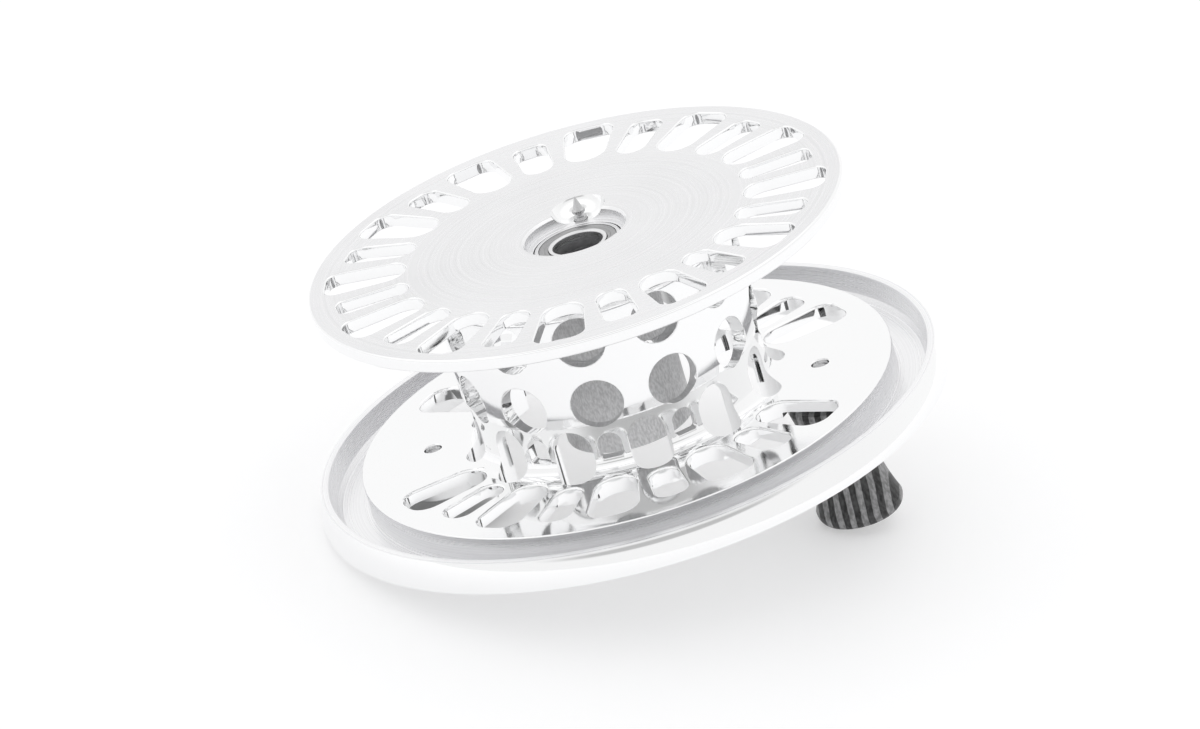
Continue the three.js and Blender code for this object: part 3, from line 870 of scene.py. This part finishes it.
def bearing_rings(side, centre):
    half, pitch, land, race = BEARING["half"], BEARING["pitch"], BEARING["land"], BEARING["race"]
    low, high = centre - half, centre + half
    outer = [
        (pitch + land, low, 0.1),
        (BEARING["outer"], low, 0.3),
        (BEARING["outer"], high, 0.3),
        (pitch + land, high, 0.1),
        *arc_points(pitch, centre, race, 40, -40, 10),
    ]
    inner = [
        (BEARING["bore"], low, 0.3),
        (pitch - land, low, 0.1),
        *arc_points(pitch, centre, race, 220, 140, 10),
        (pitch - land, high, 0.1),
        (BEARING["bore"], high, 0.3),
    ]
    turned_piece(side + "_bearing_outer_ring", outer, "bearing_steel", "spool", 96)
    turned_piece(side + "_bearing_inner_ring", inner, "bearing_steel", "spindle_race", 96)


def bearing_shield(node, centre, side):
    """A pressed disc with a step; side +1 is the upper one."""
    top, thick, drop, step = SHIELD["top"], SHIELD["thickness"], SHIELD["drop"], SHIELD["step"]
    corners = [
        (SHIELD["inner"], top - thick - drop, 0.04),
        (step - 0.06, top - thick - drop, 0.08),
        (step + 0.06, top - thick, 0.08),
        (SHIELD["outer"], top - thick, 0.04),
        (SHIELD["outer"], top, 0.04),
        (step, top, 0.08),
        (step - 0.12, top - drop, 0.08),
        (SHIELD["inner"], top - drop, 0.04),
    ]
    placed = [(r, centre + side * z, fillet) for r, z, fillet in corners]
    turned_piece(node, placed[::side], "shield_steel", "spool", 96)


def bearing_cage(side, centre):
    step = 2 * math.pi / BEARING["balls"]
    window = round_window(CAGE["pocket"], centre)
    pockets = []
    for i in range(BEARING["balls"]):
        pockets.append(wall_cutter(window, CAGE["reach"], CAGE["outer"], EDGE["pocket"], i * step))
    corners = tube_corners(CAGE["inner"], CAGE["outer"], centre - CAGE["half"], centre + CAGE["half"], 0.1)
    turned_piece(side + "_bearing_cage", corners, "bush_bronze", side + "_ball_train", 126, cutters=pockets)


def bearing_balls(side, centre):
    for i in range(BEARING["balls"]):
        angle = i * 2 * math.pi / BEARING["balls"]
        x, y = BEARING["pitch"] * math.cos(angle), BEARING["pitch"] * math.sin(angle)
        outline = arc_points(0.0, centre, BEARING["ball"], -90, 90, 20)
        outline[0] = (0.0, outline[0][1])
        outline[-1] = (0.0, outline[-1][1])
        turned_piece(f"{side}_bearing_ball_{i + 1}", outline, "bearing_steel", side + "_ball_train", 40, x, y)


def ball_bearing(side, centre):
    bearing_rings(side, centre)
    bearing_shield(side + "_bearing_upper_shield", centre, 1)
    bearing_shield(side + "_bearing_lower_shield", centre, -1)
    bearing_cage(side, centre)
    bearing_balls(side, centre)


def bearing_spacer():
    low = FRONT_BEARING + BEARING["half"] + GAP
    high = REAR_BEARING - BEARING["half"] - GAP
    corners = tube_corners(BEARING["bore"], BEARING["bore"] + 0.7, low, high, 0.2)
    turned_piece("bearing_spacer", corners, "bearing_steel", "spindle_race", 96)


def drive_pin():
    """A stem and a collar in the hub, and a grooved head with a cone that stands in the scoop."""
    head, neck = PIN["head"], PIN["neck"]
    groove_low, cone_foot = PIN_GROOVES
    corners = [
        (0.0, PIN["low"]),
        (PIN["stem"], PIN["low"], 0.1),
        (PIN["stem"], PIN["collar_low"]),
        (PIN["collar"], PIN["collar_low"], 0.1),
        (PIN["collar"], PIN["collar_top"], 0.1),
        (head, PIN["collar_top"]),
        (head, groove_low, 0.08),
        (neck, groove_low + 0.15, 0.08),
        (neck, groove_low + 0.55, 0.08),
        (head, groove_low + 0.7, 0.08),
        (head, cone_foot, 0.08),
        (neck, cone_foot + 0.15, 0.02),
        (0.1, PIN_TIP - 0.1, 0.1),
        (0.0, PIN_TIP),
    ]
    turned_piece("drive_pin", corners, "pin_steel", "pin", 64, y=PIN_Y)


def pin_spring():
    """A compression spring with closed end coils, from the pocket's bottom up to the pin."""
    wire, radius, turns = SPRING["wire"], SPRING["radius"], SPRING["turns"]
    low = POCKET["bottom"] + wire + GAP
    high = PIN["low"] - wire - GAP
    closed = 2.1 * wire
    steps, sides = int(turns * 32), 12
    rings = []
    for k in range(steps + 1):
        along = turns * k / steps
        share = min(max((along - 1) / (turns - 2), 0.0), 1.0)
        ends = min(along, 1.0) + max(along - turns + 1, 0.0)
        z = low + closed * ends + (high - low - 2 * closed) * share
        angle = 2 * math.pi * along
        out = np.array([math.cos(angle), math.sin(angle), 0.0])
        centre = out * radius + np.array([0, 0, z])
        angles = 2 * math.pi * np.arange(sides) / sides
        ring = centre + wire * (np.outer(np.cos(angles), out) + np.outer(np.sin(angles), [0, 0, 1.0]))
        rings.append(ring[::-1])
    obj = loft("pin_spring", rings)
    obj.data.transform(Matrix.Translation((0, PIN_Y * MM, 0)))
    obj.data.materials.append(None)
    crease(obj.data, 50)
    dress(obj, "pin_spring_fine", "pin_steel", "spool", "pin_spring")
    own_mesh(obj)


def handle_knob():
    corners = [
        (KNOB["counterbore"], KNOB["foot"], 0.15),
        *knob_foot()[:-1],
        *knob_flank(BELLY)[::-1],
        *knob_flank(SHOULDER)[1:],
        (KNOB["top_radius"], KNOB["top"], 0.2),
        (KNOB["bore"], KNOB["top"], 0.15),
        (KNOB["bore"], KNOB["step"], 0.05),
        (KNOB["counterbore"], KNOB["step"]),
    ]
    turned_piece("handle_knob", corners, "knob_laminate", "knob", 128, x=HANDLE_X)


def handle_post():
    face = PLATE["under"] - GAP
    corners = [
        (0.0, POST["end"]),
        (POST["shaft"], POST["end"], 0.2),
        (POST["shaft"], POST["shoulder_at"], 0.1),
        (POST["shoulder"], POST["shoulder_at"], 0.3),
        (POST["shoulder"], face, 0.2),
        (STUD, face),
        (STUD, STUD_TIP, 0.3),
        (0.0, STUD_TIP),
    ]
    turned_piece("handle_post", corners, "pin_steel", "spool", x=HANDLE_X)


def handle_washer():
    low, high = KNOB["top"] + 0.1, POST["shoulder_at"] - 0.1
    corners = tube_corners(BUSH["inner"], 4.6, low, high, 0.2)
    turned_piece("handle_washer", corners, "washer_nylon", "spool", x=HANDLE_X)


def knob_bushes():
    upper = KNOB["top"] - GAP
    lower = KNOB["step"] + BUSH["length"] + GAP
    for node, top in (("upper_knob_bush", upper), ("lower_knob_bush", lower)):
        corners = tube_corners(BUSH["inner"], BUSH["outer"], top - BUSH["length"], top, 0.25)
        turned_piece(node, corners, "bush_bronze", "knob", x=HANDLE_X)


def handle_screw():
    face, radius = END_SCREW["head"], END_SCREW["radius"]
    corners = [(0.0, face), (radius, face, 0.4), (radius, POST["end"] - GAP, 0.15), (0.0, POST["end"] - GAP)]
    socket = hex_socket(HANDLE_X, face, END_SCREW["socket"], END_SCREW["depth"])
    turned_piece("handle_screw", corners, "pin_steel", "spool", x=HANDLE_X, cutters=[socket])


def counterweight():
    front, step = WEIGHT["front"], WEIGHT["front"] + WEIGHT["step"]
    back = PLATE["under"] - GAP
    corners = [
        (WEIGHT["bore"], step, 0.1),
        (WEIGHT["counterbore"], step),
        (WEIGHT["counterbore"], front, 0.2),
        (WEIGHT["radius"], front, 0.5),
        (WEIGHT["radius"], back, 0.15),
        (WEIGHT["bore"], back, 0.1),
    ]
    turned_piece("counterweight", corners, "spool_aluminium", "spool", 96, x=WEIGHT_X)


def counterweight_screw():
    seat = WEIGHT["front"] + WEIGHT["step"] - GAP
    face = seat - WEIGHT_SCREW["length"]
    corners = [
        (0.0, face),
        (WEIGHT_SCREW["radius"], face, 0.3),
        (WEIGHT_SCREW["radius"], seat, 0.05),
        (STUD, seat),
        (STUD, STUD_TIP, 0.3),
        (0.0, STUD_TIP),
    ]
    socket = hex_socket(WEIGHT_X, face, WEIGHT_SCREW["socket"], WEIGHT_SCREW["depth"])
    turned_piece("counterweight_screw", corners, "pin_steel", "spool", x=WEIGHT_X, cutters=[socket])


def build():
    dress(spool_body(), "spool_body_fine", "spool_aluminium", "spool", "spool_body")
    hub_insert()
    ball_bearing("rear", REAR_BEARING)
    ball_bearing("front", FRONT_BEARING)
    bearing_spacer()
    drive_pin()
    pin_spring()
    handle_knob()
    handle_post()
    handle_washer()
    knob_bushes()
    handle_screw()
    counterweight()
    counterweight_screw()


# ---- Floor, light and camera ----

def floor():
    """A pale, faintly back-lit floor with a painted shadow under the rim's edge, which rests on it with the
    knob's end.
    """
    touch_rim = Vector((-RIM_FOOT["outer"], 0, RIM_FOOT["at"] + DECK)) * MM
    touch_knob = Vector((HANDLE_X - FLOOR["knob_touch"], 0, knob_low[2])) * MM
    lean = math.atan2(touch_rim.z - touch_knob.z, touch_knob.x - touch_rim.x)
    size = FLOOR["size"]
    corners = [(-size, -size, 0), (size, -size, 0), (size, size, 0), (-size, size, 0)]
    obj = new_object("floor", corners, [(0, 1, 2, 3)])
    obj.location = touch_knob
    obj.rotation_euler = (0, lean, 0)
    obj.data.materials.append(pale_floor((PAINTED_SHADOW["x"] * MM - touch_knob.x) / math.cos(lean)))


def pale_floor(centre):
    """The floor's finish, with a painted shadow patch of darker grey and less glow; centre is how far along
    the floor the painted shadow lies.
    """
    g = Graph("pale_floor")
    split = g.node("ShaderNodeSeparateXYZ", Vector=g.place())
    reach = g.reach(g.math("SUBTRACT", split.outputs[0], centre), split.outputs[1])
    # Painted shadow: 0 in its middle, 1 on the open floor.
    outside_painted_shadow = g.spread(reach, 0.0, 1.0, PAINTED_SHADOW["core"] * MM, PAINTED_SHADOW["edge"] * MM)
    return g.finish(Base_Color=g.mix(outside_painted_shadow, PAINTED_SHADOW["grey"], FLOOR["grey"]),
                    Roughness=FLOOR["roughness"], Emission_Color=(1, 1, 1, 1),
                    Emission_Strength=g.spread(outside_painted_shadow, PAINTED_SHADOW["glow"], FLOOR["glow"]))


def view_back(azimuth, elevation):
    """The direction from the part to a place at this azimuth and elevation; azimuth 0 is -Y."""
    level = math.cos(elevation)
    return Vector((math.sin(azimuth) * level, -math.cos(azimuth) * level, math.sin(elevation)))


def world():
    """A white tent, brightest high up but dimmer at the zenith, with a dark opening for the camera."""
    g = Graph("studio", world=True)
    direction = g.node("ShaderNodeTexCoord").outputs["Generated"]
    split = g.node("ShaderNodeSeparateXYZ", Vector=direction)
    sides = g.spread(split.outputs[1], TENT["front"], TENT["back"], -0.2, 0.7)
    roof = g.spread(split.outputs[2], TENT["top"], TENT["zenith"], 0.86, 0.96)
    tent = g.spread(split.outputs[2], sides, roof, 0.5, 0.85)
    opening = view_back(CAMERA["azimuth"], CAMERA["elevation"])
    across = g.math("DIVIDE", g.math("SUBTRACT", split.outputs[0], opening.x), OPENING["width"])
    up = g.math("DIVIDE", g.math("SUBTRACT", split.outputs[2], opening.z), OPENING["height"])
    edge = g.spread(g.reach(across, up), OPENING["strength"], 1.0, 0.7, 1.3)
    in_front = g.math("LESS_THAN", split.outputs[1], 0.0)
    dim = g.math("ADD", g.math("MULTIPLY", g.math("SUBTRACT", edge, 1.0), in_front), 1.0)
    bpy.context.scene.world = g.finish(Color=(1, 1, 1, 1), Strength=g.math("MULTIPLY", tent, dim))


def camera():
    back = view_back(CAMERA["azimuth"], CAMERA["elevation"])
    data = bpy.data.cameras.new("camera")
    data.lens = CAMERA["lens"]
    data.sensor_width = CAMERA["sensor"]
    data.clip_start, data.clip_end = 0.1, 20.0
    obj = bpy.data.objects.new("camera", data)
    bpy.context.scene.collection.objects.link(obj)
    turn_to = (-back).to_track_quat("-Z", "Y").to_matrix().to_4x4()
    place = Matrix.Translation(AIM + back * CAMERA["distance"])
    obj.matrix_world = place @ turn_to @ Matrix.Rotation(-CAMERA["roll"], 4, "Z")
    bpy.context.scene.camera = obj


build()
floor()
world()
camera()
bpy.context.scene.view_settings.view_transform = "Standard"
